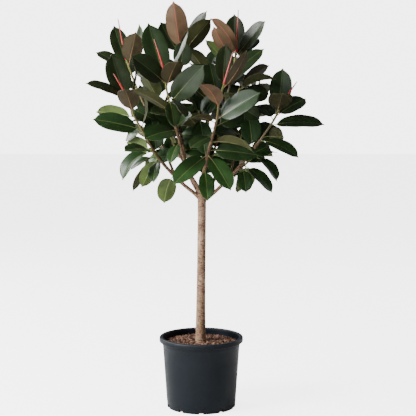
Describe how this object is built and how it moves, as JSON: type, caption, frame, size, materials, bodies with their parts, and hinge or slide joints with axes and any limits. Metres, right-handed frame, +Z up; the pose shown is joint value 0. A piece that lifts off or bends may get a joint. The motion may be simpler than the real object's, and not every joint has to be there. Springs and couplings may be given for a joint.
{
  "type": "potted rubber plant",
  "caption": "Broad-leaved rubber plant on a bare upright trunk, with a rounded leafy crown and red bud sheaths, in a tapered round nursery pot.",
  "frame": {"origin": "centre of the pot's underside, on the floor", "axes": "+Z up along the trunk; -Y is the side seen in the reference view; +X to the right in that view"},
  "size_m": [0.9795, 0.7511, 1.724],
  "materials": {
    "pot_plastic": "matte blown nursery plastic, anthracite",
    "bark_mix": "loose bark mulch over peat mix",
    "bark": "smooth pinkish tan bark with fine rings and pores",
    "leaf": "thick glossy leaf, dark green above, olive to brown beneath",
    "sheath": "waxy red bud sheath"
  },
  "bodies": {
    "root": {"back_left_bud_sheath": "sheath", "back_left_limb": "bark", "back_left_shoot": "leaf", "back_limb": "bark", "back_low_left_shoot": "leaf", "back_low_right_shoot": "leaf", "back_right_bud_sheath": "sheath", "back_right_limb": "bark", "back_right_shoot": "leaf", "back_shoot": "leaf", "back_top_shoot": "leaf", "centre_left_bud_sheath": "sheath", "centre_left_limb": "bark", "centre_left_shoot": "leaf", "centre_right_limb": "bark", "centre_rising_leaf": "leaf", "front_arched_leaf": "leaf", "front_bud_sheath": "sheath", "front_inner_leaf": "leaf", "front_left_leaf": "leaf", "front_level_leaf": "leaf", "front_low_leaf": "leaf", "front_right_leaf": "leaf", "front_shoot": "leaf", "inner_left_shoot": "leaf", "inner_right_shoot": "leaf", "inner_shoot": "leaf", "inner_top_shoot": "leaf", "left_back_leaf": "leaf", "left_bud_sheath": "sheath", "left_hanging_leaf": "leaf", "left_inner_leaf": "leaf", "left_level_leaf": "leaf", "left_limb": "bark", "left_rising_leaf": "leaf", "left_shoot": "leaf", "left_short_leaf": "leaf", "left_slender_leaf": "leaf", "left_top_branch": "bark", "left_top_bud_sheath": "sheath", "left_top_shoot": "leaf", "left_upper_leaf": "leaf", "low_left_shoot": "leaf", "low_right_shoot": "leaf", "nursery_pot": "pot_plastic", "potting_mix": "bark_mix", "right_back_leaf": "leaf", "right_bud_sheath": "sheath", "right_inner_shoot": "leaf", "right_limb": "bark", "right_outer_leaf": "leaf", "right_rising_leaf": "leaf", "right_shoot": "leaf", "right_top_branch": "bark", "right_top_bud_sheath": "sheath", "right_top_shoot": "leaf", "top_branch": "bark", "top_shoot": "leaf", "trunk": "bark"}
  },
  "joints": []
}
